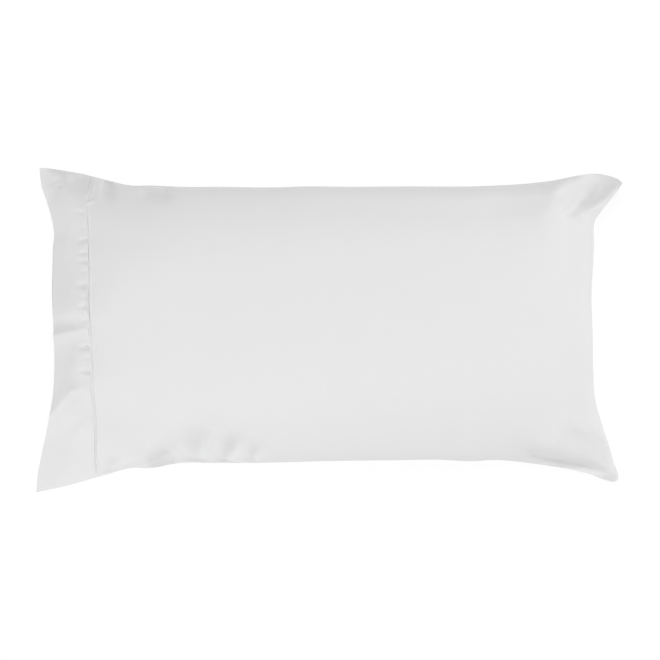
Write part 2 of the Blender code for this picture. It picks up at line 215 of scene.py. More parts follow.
# A crease of the upper face along a path of (x, y) points: its height (negative for a trough), its
# width on the right and on the left of the path, how sharp its crest is (2 is round, 1 is an edge),
# and its strength at either end.
Crease = namedtuple("Crease", "path height right left crest start end")
HEM_RIDGE = ((-0.4317, -0.1319), (-0.4208, -0.1180), (-0.4100, -0.1056), (-0.3991, -0.0963),
             (-0.3852, -0.0924), (-0.3728, -0.0916))
HEM_CREASES = (
    # A ridge straight across at the middle, and a long slanting ridge.
    Crease(((-0.434, -0.0100), (-0.412, -0.0045), (-0.380, 0.0010)), 0.0150, 0.014, 0.0080, 1.6, 1.0, 0.4),
    Crease(HEM_RIDGE, 0.0130, 0.014, 0.0120, 1.6, 1.0, 0.3),
    # A bulge between the two, and a low ridge on the far side of them.
    Crease(((-0.388, -0.010), (-0.394, -0.050), (-0.404, -0.086)), 0.0080, 0.010, 0.020, 2.0, 0.0, 0.6),
    Crease(((-0.428, 0.026), (-0.400, 0.029), (-0.380, 0.031)), 0.0135, 0.012, 0.0440, 1.9, 0.5, 0.4),
    Crease(((-0.400, -0.174), (-0.388, -0.149), (-0.370, -0.137)), 0.0050, 0.008, 0.006, 1.8, 0.3, 0.9),
    Crease(((-0.396, -0.232), (-0.392, -0.170)), 0.0040, 0.014, 0.030, 2.0, 0.6, 0.3),
    # Towards the far corner: low folds, and dents by the seam.
    Crease(((-0.424, 0.205), (-0.404, 0.160), (-0.412, 0.100)), 0.0050, 0.012, 0.012, 2.0, 0.2, 0.2),
    Crease(((-0.392, 0.232), (-0.374, 0.228)), -0.0130, 0.012, 0.010, 2.0, 0.8, 0.8),
    Crease(((-0.420, 0.230), (-0.418, 0.219)), -0.0060, 0.007, 0.007, 2.0, 0.8, 0.4),
)
BODY_CREASES = (
    # The broad swell under the hem's slanting ridge, and one beside the middle ridge.
    Crease(HEM_RIDGE, 0.0080, 0.020, 0.0400, 1.9, 0.8, 0.8),
    Crease(((-0.376, 0.020), (-0.350, 0.024), (-0.320, 0.030)), 0.0040, 0.016, 0.040, 2.0, 0.8, 0.0),
    # The stitch line's jog by the far corner.
    Crease(((-0.3735, 0.1965), (-0.3610, 0.2005)), 0.0018, 0.0022, 0.0022, 1.8, 0.8, 0.8),
    Crease(((-0.3735, 0.2015), (-0.3640, 0.2045)), -0.0014, 0.0024, 0.0022, 2.0, 0.8, 0.8),
    # Near side, close to the hem: two ridges, then valleys that lean towards the closed end, steep on
    # their right.
    Crease(((-0.340, -0.224), (-0.332, -0.209), (-0.324, -0.199)), 0.0120, 0.013, 0.011, 1.8, 1.0, 0.1),
    Crease(((-0.3080, -0.2060), (-0.2850, -0.1930), (-0.2620, -0.1780)), 0.0130, 0.014, 0.024, 1.8, 0.7, 0.5),
    Crease(((-0.263, -0.2060), (-0.247, -0.1950), (-0.236, -0.1850)), -0.0240, 0.009, 0.014, 1.8, 0.8, 0.3),
    Crease(
        ((-0.2000, -0.2030), (-0.1940, -0.1815), (-0.1870, -0.1645), (-0.1810, -0.1521)),
        -0.0330, 0.010, 0.026, 1.8, 0.5, 0.3,
    ),
    Crease(
        ((-0.1600, -0.2017), (-0.1480, -0.1862), (-0.1370, -0.1722), (-0.1280, -0.1614)),
        -0.0300, 0.010, 0.021, 1.8, 0.5, 0.2,
    ),
    Crease(((-0.124, -0.2048), (-0.109, -0.1862), (-0.097, -0.1738)), -0.0190, 0.010, 0.018, 1.8, 0.5, 0.1),
    # Far side, close to the hem: dents behind the stitch line.
    Crease(((-0.342, 0.224), (-0.341, 0.206)), -0.0200, 0.008, 0.008, 2.0, 1.0, 0.4),
    Crease(((-0.300, 0.2140), (-0.270, 0.2115), (-0.254, 0.2110)), -0.0195, 0.011, 0.010, 2.0, 0.2, 1.0),
    # Far ear of the closed end: a valley that runs up into the ear, steep on the closed end's side.
    Crease(
        ((0.372, 0.182), (0.386, 0.193), (0.401, 0.201), (0.414, 0.212), (0.424, 0.224), (0.433, 0.231)),
        -0.0165, 0.0065, 0.012, 1.8, 0.6, 1.0,
    ),
    Crease(
        ((0.392, 0.176), (0.404, 0.186), (0.419, 0.197), (0.431, 0.2065), (0.443, 0.219)),
        0.0080, 0.010, 0.008, 1.8, 0.4, 0.8,
    ),
    Crease(
        ((0.336, 0.206), (0.343, 0.215), (0.353, 0.2245), (0.362, 0.232)),
        0.0060, 0.011, 0.009, 1.8, 0.3, 0.9,
    ),
    Crease(((0.362, 0.206), (0.374, 0.213), (0.390, 0.219)), -0.0050, 0.009, 0.009, 1.8, 0.5, 0.5),
    # Near ear of the closed end: a soft fold above it, and a full roll above a valley along the seam.
    Crease(((0.360, -0.141), (0.390, -0.151), (0.428, -0.163)), 0.0060, 0.012, 0.016, 2.0, 0.2, 0.8),
    Crease(((0.315, -0.178), (0.345, -0.184), (0.368, -0.195)), 0.0150, 0.010, 0.030, 2.0, 0.3, 0.5),
    Crease(
        ((0.318, -0.1955), (0.345, -0.2025), (0.367, -0.2085), (0.392, -0.2165), (0.428, -0.2290)),
        -0.0260, 0.005, 0.009, 1.8, 0.4, 0.8,
    ),
)

# Broad hollows, which press the filled face towards the level of its seams, given like the creases.
HOLLOWS = (
    # The near corner by the hem lies flat and empty, as far as the pillow's rounded corner inside.
    Crease(
        ((-0.450, -0.200), (-0.390, -0.175), (-0.340, -0.195), (-0.285, -0.216)),
        -0.0620, 0.060, 0.050, 2.0, 1.0, 0.5,
    ),
    # So do the far corner by the hem, and both ears of the closed end beside the long seams.
    Crease(((-0.450, 0.244), (-0.438, 0.216)), -0.0300, 0.020, 0.020, 2.0, 1.0, 0.6),
    Crease(((0.350, 0.222), (0.385, 0.230), (0.425, 0.228)), -0.0200, 0.020, 0.020, 2.0, 0.4, 1.0),
    Crease(((0.372, -0.2150), (0.405, -0.2240), (0.440, -0.2330)), -0.0200, 0.010, 0.010, 2.0, 0.2, 1.0),
)

# Seams that curl up, both faces together, given like the creases: the near ear of the closed end.
CURLS = (
    Crease(
        ((0.3500, -0.2110), (0.3820, -0.2175), (0.4050, -0.2250), (0.4300, -0.2330), (0.4450, -0.2340)),
        0.0110, 0.009, 0.009, 1.0, 0.2, 1.0,
    ),
    Crease(((0.440, -0.234), (0.447, -0.231)), 0.0160, 0.015, 0.015, 1.3, 1.0, 1.0),
)

# Short puckers of the hem against its stitches: the distance from the middle along Y, the depth, the half
# width, how far they reach over the hem, and how they slant.
Pucker = namedtuple("Pucker", "y depth width reach slant")
PUCKERS = (
    Pucker(0.1815, 0.0018, 0.0034, 0.022, 0.10),
    Pucker(0.1570, 0.0008, 0.0030, 0.014, 0.00),
    Pucker(0.1385, 0.0036, 0.0032, 0.024, -0.08),
    Pucker(0.1190, 0.0028, 0.0026, 0.022, -0.04),
    Pucker(0.1055, 0.0030, 0.0026, 0.026, 0.05),
    Pucker(0.0900, 0.0012, 0.0030, 0.016, 0.00),
    Pucker(0.0690, 0.0044, 0.0046, 0.026, 0.04),
    Pucker(0.0510, 0.0012, 0.0026, 0.016, 0.10),
    Pucker(0.0365, 0.0036, 0.0044, 0.022, -0.08),
    Pucker(0.0150, 0.0026, 0.0036, 0.020, -0.10),
    Pucker(-0.0270, 0.0050, 0.0034, 0.026, 0.02),
    Pucker(-0.0430, 0.0012, 0.0028, 0.016, 0.00),
    Pucker(-0.0640, 0.0040, 0.0030, 0.024, 0.03),
    Pucker(-0.0900, 0.0014, 0.0030, 0.014, 0.00),
    Pucker(-0.1200, 0.0006, 0.0030, 0.014, 0.00),
)

# The pillow's broad, very low lumps: their height, and how many of them there are in a metre.
LUMPS = ((0.0011, 7.0), (0.0003, 26.0))

# A stitch from end to end: the fraction of its length, then its centre's height and its size, both in
# radii of the thread.
STITCH_RINGS = (
    (0.00, -0.9, 0.70),
    (0.16, 0.2, 0.95),
    (0.50, 0.4, 1.00),
    (0.84, 0.2, 0.95),
    (1.00, -0.9, 0.70),
)

# Where each part of the mesh starts on the square that its surface is unrolled onto.
CHARTS = {
    "upper": (0.005, 0.005),
    "lower": (0.005, 0.505),
    "seam": (0.90, 0.010),
    "lip": (0.92, 0.010),
    "roof": (0.93, 0.010),
    "floor": (0.93, 0.505),
    "back": (0.98, 0.010),
}
CHART_SCALE = 0.98

# The softboxes round the pillow: compass angle from +X, angle above the floor, and power in watts.
Softbox = namedtuple("Softbox", "name azimuth elevation power")
SOFTBOXES = (
    Softbox("closed_end", 0, 20, 19.0),
    Softbox("far_side", 90, 65, 30.5),
    Softbox("mouth_corner", 210, 42, 13.5),
    Softbox("near_side", 240, 20, 18.0),
    Softbox("closed_corner", 330, 42, 7.0),
)


# ------------------------------------------------------------------------------------ finer measures

# Mesh spacing at the hem's line and at the edges, how fast it widens away from them, and how many times
# as long the last step may be.
LINE_STEP = 0.0005
LINE_GROWTH = 0.20
EDGE_STEP = 0.0009
EDGE_GROWTH = 0.22
LAST_STEP = 1.4
# The band of the finest columns: how far its middle lies before the hem's line, and its half width.
BAND_MIDDLE = 0.0015
BAND_HALF = 0.0050
# Past the hem's line the upper face's rows stay fine this far.
FINE_MARGIN = 0.015
# The lower face's rise: how squarely its two sides join, and how late and how steeply it starts.
RISE_CORNER = 3
RISE_START = 2.2
RISE_STEEPNESS = 0.58
# The lower lip past the upper one: the fraction of the width where it reaches furthest, how widely it
# spreads, and how far in it fades.
LIP_MIDDLE = 0.65
LIP_SPREAD = 0.13
LIP_FADE = 0.05
# Fainter puckers on the body side of the line: their share of the depth, their distance and half width.
BODY_PUCKER = 0.12
BODY_PUCKER_PLACE = 0.010
BODY_PUCKER_WIDTH = 0.004
# Distances from the stitches, towards the open end, between which the hem's puckers set in.
PUCKER_START = -0.002
PUCKER_FULL = 0.003
# The share of a crease's path over which either end fades.
FADE = 0.45
# The least filling, and the least room for a hollow, which keep divisions and powers defined.
LEAST_FILLING = 0.00001
LEAST_ROOM = 1e-6
TINY = 1e-9
# Points this close are one, and edges this short are removed.
WELD = 2e-6
SHORTEST_EDGE = 1e-7
# How far a seam's edge stands out, as a share of its thickness, and the pillow's end inside the mouth.
SEAM_BULGE = 0.2
PILLOW_BULGE = 0.006
# How late the mouth closes towards its corners, and the angles round a lip.
MOUTH_POWER = 10
LIP_ANGLES = (90, 45, 0, -45, -90)
# The flat length of the pillow's end inside the mouth.
BACK_PLACES = (0, 0.01, 0.02)
# From the seams to the first and the last stitch, and the sides of a stitch.
STITCH_MARGIN = 0.006
STITCH_SIDES = 6
# Noise cells in a metre: along and across a cotton thread, of the crumple, and of the sewing thread.
SLUB_ALONG = 60.0
SLUB_ACROSS = 1400.0
CRUMPLE = 55.0
TWIST = 2500.0


# ------------------------------------------------------------------------------------ settings


def length(name, description, default):
    """A size in metres."""
    return bpy.props.FloatProperty(
        name=name, description=description, default=default, precision=5, unit="LENGTH"
    )


def share(name, description, default):
    """A plain number."""
    return bpy.props.FloatProperty(name=name, description=description, default=default)


def colour(name, description, default):
    """A linear colour."""
    return bpy.props.FloatVectorProperty(
        name=name, description=description, default=default, size=3, subtype="COLOR", min=0, max=1
    )


class PILLOWCASE_PG_case(bpy.types.PropertyGroup):
    """Sizes of the cloth case."""

    length: length("Length", "Along X, between the corner tips", CASE_SIZE[0])
    width: length("Width", "Along Y, between the corner tips", CASE_SIZE[1])
    cut_length: length("Cut length", "Length of the sewn case, laid flat", 0.900)
    cut_width: length("Cut width", "Width of the sewn case, laid flat", 0.500)
    hem_depth: length("Hem depth", "From the open end to the stitch line", 0.100)
    lip: length("Lip thickness", "The hem's two layers at the open end", 0.0014)
    seam: length("Seam thickness", "The turned-in cloth inside the seams", 0.0020)
    pocket: length("Pocket depth", "From the open end to the pillow's end", 0.045)
    column_step: length("Column step", "Mesh spacing along the body", 0.0044)
    hem_step: length("Hem step", "Mesh spacing along the hem", 0.0026)
    row_step: length("Row step", "Mesh spacing across the body; the hem's is half of it", 0.0036)
    seam_pull: length("Seam pull", "How far a seam holds the cloth beside it taut", 0.0035)
    lower_lip: length("Lower lip", "How far the lower lip reaches past the upper one", 0.0012)
    squareness: share("Squareness", "How flat the crown runs before it turns down", 2.4)
    rest_across: share("Rest across", "Share of the half width that lies flat", 0.70)
    rest_along: share("Rest along", "Share of the length that lies flat", 0.84)


class PILLOWCASE_PG_stitching(bpy.types.PropertyGroup):
    """Sizes of the hem's stitch line."""

    length: length("Stitch length", "The thread that shows between two needle holes", 0.0026)
    pitch: length("Pitch", "From one needle hole to the next", 0.0032)
    thread: length("Thread", "Diameter of the sewing thread", 0.0004)
    groove_width: length("Groove width", "Half width of the groove that the stitches pull in", 0.0011)
    notch_width: length("Notch width", "Half width of the notch in front of the turned-in cloth", 0.0014)
    turning: length("Turning", "From the stitches to the end of the turned-in cloth", 0.0044)
    bead: length("Bead", "Half width of the ridge that the end of the turned-in cloth makes", 0.0022)
    slack: length("Slack", "How far the cloth sinks in front of that ridge", 0.0016)


class PILLOWCASE_PG_cotton(bpy.types.PropertyGroup):
    """Colours and surface of the cotton."""

    colour: colour("Cotton", "Bleached cotton", (0.80, 0.80, 0.80))
    shade: colour("Shade", "The cotton where it is a little greyer", (0.77, 0.77, 0.772))
    thread: colour("Thread", "Sewing thread", (0.78, 0.78, 0.78))
    roughness: share("Roughness", "Of the cotton", 0.88)
    sheen: share("Sheen", "Fine fibre ends that catch the light", 0.12)
    gloss: share("Gloss", "How strongly the cotton mirrors light", 0.25)
    weave: length("Weave pitch", "From one thread to the next", 0.0006)
    weave_depth: share("Weave depth", "Height of the threads, in millimetres", 0.010)
    slub_depth: share("Slub depth", "Height of the threads' thick places, in millimetres", 0.020)
    crumple_depth: share("Crumple depth", "Height of the fine crumple, in millimetres", 0.10)


class PILLOWCASE_PG_studio(bpy.types.PropertyGroup):
    """The floor, lights and camera."""

    floor: colour("Floor", "Colour of the floor", (0.20, 0.20, 0.20))
    floor_size: length("Floor size", "Side of the square floor", 40.0)
    floor_drop: length("Floor drop", "How far the floor lies under the pillow", 0.0004)
    floor_glow: share("Floor glow", "Light that the white floor gives off", 0.83)
    lens: share("Lens", "Focal length, in millimetres", 280.0)
    view_width: length("View width", "Width that the camera sees at the seams", 1.023)
    view_shift: length("View shift", "How far the camera stands towards the closed end", 0.0019)
    view_height: length("View plane", "Height of the plane with that width", 0.045)
    sky: share("Sky", "Strength of the white surroundings", 0.285)
    light_size: length("Light size", "Side of each square softbox", 1.6)
    light_distance: length("Light distance", "From the pillow to each softbox", 2.6)
    brightness: share("Brightness", "Share of the softboxes' full power", 1.0)


GROUPS = {
    "pillowcase": PILLOWCASE_PG_case,
    "pillowcase_stitching": PILLOWCASE_PG_stitching,
    "pillowcase_cotton": PILLOWCASE_PG_cotton,
    "pillowcase_studio": PILLOWCASE_PG_studio,
}


# ------------------------------------------------------------------------------------ curves


def column(rows, name, at):
    """One column of a table at the fractions `at`, on a smooth curve through its rows."""
    along = np.array([row.along for row in rows])
    value = np.array([getattr(row, name) for row in rows])
    slope = np.gradient(value, along)
    left = np.clip(np.searchsorted(along, at) - 1, 0, len(rows) - 2)
    span = along[left + 1] - along[left]
    f = (at - along[left]) / span
    start = (1 + 2 * f) * (1 - f) ** 2 * value[left] + f * (1 - f) ** 2 * span * slope[left]
    end = f * f * (3 - 2 * f) * value[left + 1] - f * f * (1 - f) * span * slope[left + 1]
    return start + end


def smooth(edge0, edge1, x):
    """A smooth step from 0 at edge0 to 1 at edge1."""
    f = np.clip((x - edge0) / (edge1 - edge0), 0, 1)
    return f * f * (3 - 2 * f)


def marched(start, stop, step_at):
    """Places from start to stop, each a step_at(place) past the last."""
    places = [start]
    while places[-1] + LAST_STEP * step_at(places[-1]) < stop:
        places.append(places[-1] + step_at(places[-1]))
    return np.array([*places, stop])


def normals_of(points):
    """Unit normals of a grid of points, upwards for a grid that runs along X and then along Y."""
    along, across = np.gradient(points, axis=0), np.gradient(points, axis=1)
    normal = np.cross(along, across)
    return normal / np.linalg.norm(normal, axis=-1, keepdims=True)


# ------------------------------------------------------------------------------------ the lying case


class LyingCase:
    """The case as it lies, as grids of points: i runs from the open end, j from the near seam."""

    def __init__(self, case, stitching):
        self.case, self.stitching = case, stitching
        self.u, self.v = self.places()
        t = self.v / case.cut_width
        hem_share = np.clip(self.u / case.hem_depth, 0, 1)[:, None]
        body_share = np.clip(
            (self.u - case.hem_depth) / (case.cut_length - case.hem_depth), 0, 1
        )[:, None]
        reach = column(STITCH_LINE, "reach", t)
        self.s = hem_share * reach + body_share * (1 - reach)
        self.t = np.broadcast_to(t, self.s.shape)
        self.from_line = (self.u - case.hem_depth)[:, None] + np.zeros_like(self.t)

    def places(self):
        """Distances of the mesh's columns and rows on the flat case, closer by the sewn lines."""
        case = self.case

        def column_step(u):
            to_band = max(abs(u - case.hem_depth + BAND_MIDDLE) - BAND_HALF, 0)
            to_edge = min(u, case.cut_length - u)
            widest = case.hem_step if u < case.hem_depth else case.column_step
            return min(widest, LINE_STEP + LINE_GROWTH * to_band, EDGE_STEP + EDGE_GROWTH * to_edge)

        def row_step(v):
            to_edge = min(v, case.cut_width - v)
            return min(case.row_step, EDGE_STEP + EDGE_GROWTH * to_edge)

        hem = marched(0.0, case.hem_depth, column_step)
        body = marched(case.hem_depth, case.cut_length, column_step)
        rows = marched(0.0, case.cut_width, row_step)
        halves = np.interp(np.arange(2 * len(rows) - 1) / 2, np.arange(len(rows)), rows)
        return np.concatenate((hem, body[1:])), halves

    def long_side(self, rows, s, sign):
        """Points of the side seam at +Y (sign 1) or -Y (sign -1)."""
        row = -1 if sign > 0 else 0
        x_start = -self.case.length / 2 + MOUTH_EDGE[row].inset
        x_end = self.case.length / 2 - CLOSED_SEAM[row].inset
        y = sign * (self.case.width / 2 - column(rows, "inset", s))
        return np.stack((x_start + (x_end - x_start) * s, y, column(rows, "height", s)), axis=-1)

    def short_side(self, rows, t, sign):
        """Points of the closed end at +X (sign 1) or the open end (sign -1)."""
        row = -1 if sign > 0 else 0
        y_start = -self.case.width / 2 + NEAR_SEAM[row].inset
        y_end = self.case.width / 2 - FAR_SEAM[row].inset
        x = sign * (self.case.length / 2 - column(rows, "inset", t))
        return np.stack((x, y_start + (y_end - y_start) * t, column(rows, "height", t)), axis=-1)

    def seam_surface(self, s, t):
        """Points of the smooth surface that spans the four sides."""
        zero, one = np.zeros_like(s), np.ones_like(s)
        near, far = self.long_side(NEAR_SEAM, s, -1), self.long_side(FAR_SEAM, s, 1)
        mouth, closed = self.short_side(MOUTH_EDGE, t, -1), self.short_side(CLOSED_SEAM, t, 1)
        near_ends = [self.long_side(NEAR_SEAM, end, -1) for end in (zero, one)]
        far_ends = [self.long_side(FAR_SEAM, end, 1) for end in (zero, one)]
        s, t = s[..., None], t[..., None]
        corners = (1 - t) * ((1 - s) * near_ends[0] + s * near_ends[1])
        corners += t * ((1 - s) * far_ends[0] + s * far_ends[1])
        points = (1 - t) * near + t * far + (1 - s) * mouth + s * closed - corners
        points[..., 2] += sum(crease_height(curl, points) for curl in CURLS)
        return points

    def under(self):
        """The lower face: flat on the surface, and curving up to the seams."""
        s, t = self.s, self.t
        points = self.seam_surface(s, t)
        side = np.clip(
            (np.abs(2 * t - 1) - self.case.rest_across) / (1 - self.case.rest_across), 0, 1
        )
        end = np.clip((s - self.case.rest_along) / (1 - self.case.rest_along), 0, 1)
        rim = np.minimum((side**RISE_CORNER + end**RISE_CORNER) ** (1 / RISE_CORNER), 1)
        rise = 1 - (1 - rim**RISE_START) ** RISE_STEEPNESS
        points[..., 2] = (points[..., 2] - self.case.seam / 2) * rise
        beyond = self.case.lower_lip * np.exp(-(((t - LIP_MIDDLE) / LIP_SPREAD) ** 2))
        points[..., 0] -= beyond * smooth(LIP_FADE, 0, self.u)[:, None]
        return points

    def over(self, low):
        """The upper face with its hollows and creases."""
        s, t = self.s, self.t
        points = self.seam_surface(s, t)
        middle = self.seam_surface(s, np.full_like(t, 0.5))[..., 2]
        bow = np.maximum(1 - np.abs(2 * t - 1) ** self.case.squareness, 0)
        bow = bow ** column(CROWN, "power", s) * (1 + column(CROWN, "lean", s) * (t - 0.5))
        filling = (column(CROWN, "height", s) - middle) * bow + LEAST_FILLING
        filling = pressed(filling, sum(crease_height(hollow, points) for hollow in HOLLOWS), 0)
        points[..., 2] += filling + self.case.seam / 2
        hem_side = smooth(-self.stitching.turning / 2, -2 * self.stitching.turning, self.from_line)
        creases = sum(crease_height(crease, points) for crease in HEM_CREASES) * hem_side
        creases += sum(crease_height(crease, points) for crease in BODY_CREASES)
        creases = (creases + self.line_height()) * self.clear_of_seams()
        points[..., 2] = low[..., 2] + pressed(points[..., 2] - low[..., 2], creases, self.case.seam)
        return points

    def clear_of_seams(self):
        """1 over the face, falling to 0 at the seams, which hold the cloth taut."""
        across = np.minimum(self.v, self.case.cut_width - self.v)[None, :]
        to_seam = np.minimum(across, (self.case.cut_length - self.u)[:, None])
        return smooth(0, self.case.seam_pull, to_seam)

    def relief(self, points, low):
        """How far puckers and lumps move each point of the upper face."""
        folds = self.pucker_height(points) + self.lump_height(points)
        thickness = points[..., 2] - low[..., 2]
        return pressed(thickness, folds * self.clear_of_seams(), self.case.seam) - thickness

    def pucker_height(self, points):
        """The short puckers of the hem, with fainter ones on the body side of the line."""
        total = np.zeros(self.s.shape)
        from_stitches = -self.from_line - self.stitching.turning
        body_side = np.exp(-(((from_stitches + BODY_PUCKER_PLACE) / BODY_PUCKER_WIDTH) ** 2))
        body_side *= BODY_PUCKER
        for pucker in PUCKERS:
            half = pucker.reach / 2
            y = pucker.y + pucker.slant * (from_stitches - half)
            across = np.exp(-(((points[..., 1] - y) / pucker.width) ** 2))
            past = np.maximum(from_stitches - half, 0) / half
            hem_side = smooth(PUCKER_START, PUCKER_FULL, from_stitches) * np.exp(-(past**2))
            total -= pucker.depth * across * (hem_side + body_side)
        return total

    def lump_height(self, points):
        """Broad, very low unevenness of the filling."""
        heights = [
            sum(height * noise.noise(Vector(p) * count) for height, count in LUMPS)
            for p in points.reshape(-1, 3)
        ]
        return np.array(heights).reshape(self.s.shape)

    def line_height(self):
        """The ridge of the turned-in cloth's end, and the groove that the stitches pull in beside it."""
        past, stitching = self.from_line, self.stitching
        ridge = past * np.exp(-((past / stitching.bead) ** 2))
        hollow = past * np.exp(past / stitching.slack)
        line = column(STITCH_LINE, "step", self.t) * np.where(past > 0, ridge, hollow)
        notch = np.exp(-(((past + stitching.notch_width / 2) / stitching.notch_width) ** 2))
        groove = np.exp(-(((past + stitching.turning) / stitching.groove_width) ** 2))
        line -= column(STITCH_LINE, "notch", self.t) * notch
        return line - column(STITCH_LINE, "groove", self.t) * groove

    def faces(self):
        """The finished upper and lower faces."""
        low = self.under()
        up = self.over(low)
        up = up + normals_of(up) * self.relief(up, low)[..., None]
        return up, low


def crease_height(crease, points):
    """The height of one crease at each point's x and y.

    Its width is the left one on the left of the path, the right one on its right, and turns smoothly
    from one into the other beyond its ends.
    """
    path = np.array(crease.path)
    runs = np.diff(path, axis=0)
    lengths = np.linalg.norm(runs, axis=1)
    nearest = np.full(points.shape[:-1], np.inf)
    along, side = np.zeros_like(nearest), np.zeros_like(nearest)
    for start, run, size, before in zip(path, runs, lengths, np.cumsum(lengths) - lengths):
        offset = points[..., :2] - start
        f = np.clip(offset @ run / size**2, 0, 1)
        distance = np.linalg.norm(offset - f[..., None] * run, axis=-1)
        closer = distance < nearest
        nearest = np.where(closer, distance, nearest)
        along = np.where(closer, (before + f * size) / lengths.sum(), along)
        side = np.where(closer, (run[0] * offset[..., 1] - run[1] * offset[..., 0]) / size, side)
    leftness = smooth(-1, 1, side / np.maximum(nearest, TINY))
    width = crease.right + (crease.left - crease.right) * leftness
    fade_in = (1 - crease.start) * smooth(FADE, 0, along)
    fade_out = (1 - crease.end) * smooth(1 - FADE, 1, along)
    return crease.height * (1 - fade_in - fade_out) * np.exp(-((nearest / width) ** crease.crest))


def pressed(thickness, change, least):
    """A thickness with a change added, which never presses it below the least one."""
    room = np.maximum(thickness - least, LEAST_ROOM)
    thinner = thickness - room * (1 - np.exp(np.minimum(change, 0) / room))
    return np.where(change < 0, thinner, thickness + change)


# ------------------------------------------------------------------------------------ meshes


class Cloth:
    """Collects grids of points into one mesh, each with its place on the flat case."""

    def __init__(self):
        self.bm = bmesh.new()
        self.flat = self.bm.loops.layers.uv.new("cloth")
        self.chart = self.bm.loops.layers.uv.new("OFBake")

    def add(self, lines, u, v, corner, strides=None):
        """Faces between lines of points, which may use every point or every strides[i]-th one.

        u and v are their places on the flat cloth, and corner is where their chart starts.
        """
        strides = strides or [1] * len(lines)
        verts = [
            {k: self.bm.verts.new(line[k]) for k in range(0, len(line), stride)}
            for line, stride in zip(lines, strides)
        ]
        for i in range(len(lines) - 1):
            step = max(strides[i], strides[i + 1])
            for k in range(0, len(lines[i]) - 1, step):
                first = [(i, j) for j in range(k, k + step + 1, strides[i])]
                second = [(i + 1, j) for j in range(k, k + step + 1, strides[i + 1])]
                ring = first[::-1] + second
                face = self.bm.faces.new([verts[a][b] for a, b in ring])
                face.smooth = True
                for loop, (a, b) in zip(face.loops, ring):
                    loop[self.flat].uv = (u[a], v[b])
                    loop[self.chart].uv = (corner[0] + u[a] * CHART_SCALE, corner[1] + v[b] * CHART_SCALE)

    def finished(self, name):
        """The mesh, welded and facing out."""
        bmesh.ops.remove_doubles(self.bm, verts=self.bm.verts, dist=WELD)
        bmesh.ops.dissolve_degenerate(self.bm, edges=self.bm.edges, dist=SHORTEST_EDGE)
        bmesh.ops.recalc_face_normals(self.bm, faces=self.bm.faces)
        mesh = bpy.data.meshes.new(name)
        self.bm.to_mesh(mesh)
        self.bm.free()
        return mesh


def placed(name, mesh, material):
    """An object with this mesh and material, riding on the part's one body."""
    mesh.materials.append(material)
    piece = bpy.data.objects.new(name, mesh)
    bpy.context.scene.collection.objects.link(piece)
    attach(piece, "root")
    return piece


# ------------------------------------------------------------------------------------ shaders


class Value:
    """A shader socket that takes part in Python's arithmetic."""

    def __init__(self, shader, socket):
        self.shader, self.socket = shader, socket

    def _math(self, operation, *values):
        return self.shader.node("ShaderNodeMath", {"operation": operation}, values)

    def __add__(self, other):
        return self._math("ADD", self, other)

    def __radd__(self, other):
        return self._math("ADD", other, self)

    def __sub__(self, other):
        return self._math("SUBTRACT", self, other)

    def __rsub__(self, other):
        return self._math("SUBTRACT", other, self)

    def __mul__(self, other):
        return self._math("MULTIPLY", self, other)

    def __rmul__(self, other):
        return self._math("MULTIPLY", other, self)

    def sine(self):
        return self._math("SINE", self)


class Shader:
    """Builds the node tree of one material."""

    def __init__(self, name):
        self.material = bpy.data.materials.new(name)
        self.material.use_nodes = True
        self.tree = self.material.node_tree
        self.surface = self.tree.nodes["Principled BSDF"]

    def node(self, kind, settings=None, values=(), output=0):
        """A node of any kind: its settings are set first, then its sockets, by order or by name."""
        made = self.tree.nodes.new(kind)
        for name, setting in (settings or {}).items():
            setattr(made, name, setting)
        named = values.items() if isinstance(values, dict) else enumerate(values)
        for key, value in named:
            self.feed(made.inputs[key], value)
        return Value(self, made.outputs[output])

    def feed(self, socket, value):
        """Links a Value to a socket, or sets a plain value on it."""
        if isinstance(value, Value):
            self.tree.links.new(value.socket, socket)
        else:
            socket.default_value = value

    def set(self, **values):
        """Feeds the Principled BSDF's sockets; Base_Color stands for Base Color."""
        for name, value in values.items():
            self.feed(self.surface.inputs[name.replace("_", " ")], value)
        return self.material


def cotton_material(cotton):
    """Closely woven cotton: its threads, slubs and faint crumple."""
    shader = Shader("white cotton")
    flat = shader.node("ShaderNodeUVMap", {"uv_map": "cloth"})
    axes = shader.node("ShaderNodeSeparateXYZ", values=(flat,))
    u, v = axes, Value(shader, axes.socket.node.outputs[1])
    turn = 2 * math.pi / cotton.weave
    warp, weft = (u * turn).sine(), (v * turn).sine()
    weave = warp * weft
    slubs_along = thread_noise(shader, flat, (SLUB_ALONG, SLUB_ACROSS, 1.0))
    slubs_across = thread_noise(shader, flat, (SLUB_ACROSS, SLUB_ALONG, 1.0))
    slubs = slubs_along + slubs_across
    crumple = shader.node(
        "ShaderNodeTexNoise",
        {"noise_dimensions": "3D"},
        {"Vector": flat, "Scale": CRUMPLE, "Detail": 3.0, "Roughness": 0.5},
    )
    height = weave * cotton.weave_depth + slubs * cotton.slub_depth + crumple * cotton.crumple_depth
    bump = shader.node(
        "ShaderNodeBump", values={"Strength": 1.0, "Distance": 0.001, "Height": height}
    )
    tone = shader.node(
        "ShaderNodeMix",
        {"data_type": "RGBA"},
        {"Factor": slubs * 0.35 + crumple * 0.2, 6: (*cotton.colour, 1), 7: (*cotton.shade, 1)},
        output=2,
    )
    return shader.set(
        Base_Color=tone,
        Roughness=cotton.roughness - 0.05 * slubs,
        Normal=bump,
        Sheen_Weight=cotton.sheen,
        Sheen_Roughness=0.5,
        Specular_IOR_Level=cotton.gloss,
    )


def thread_noise(shader, flat, scale):
    """Fine noise drawn out along one set of threads."""
    stretched = shader.node(
        "ShaderNodeVectorMath", {"operation": "MULTIPLY"}, {0: flat, 1: scale}
    )
    return shader.node(
        "ShaderNodeTexNoise", values={"Vector": stretched, "Scale": 1.0, "Detail": 2.0}
    )


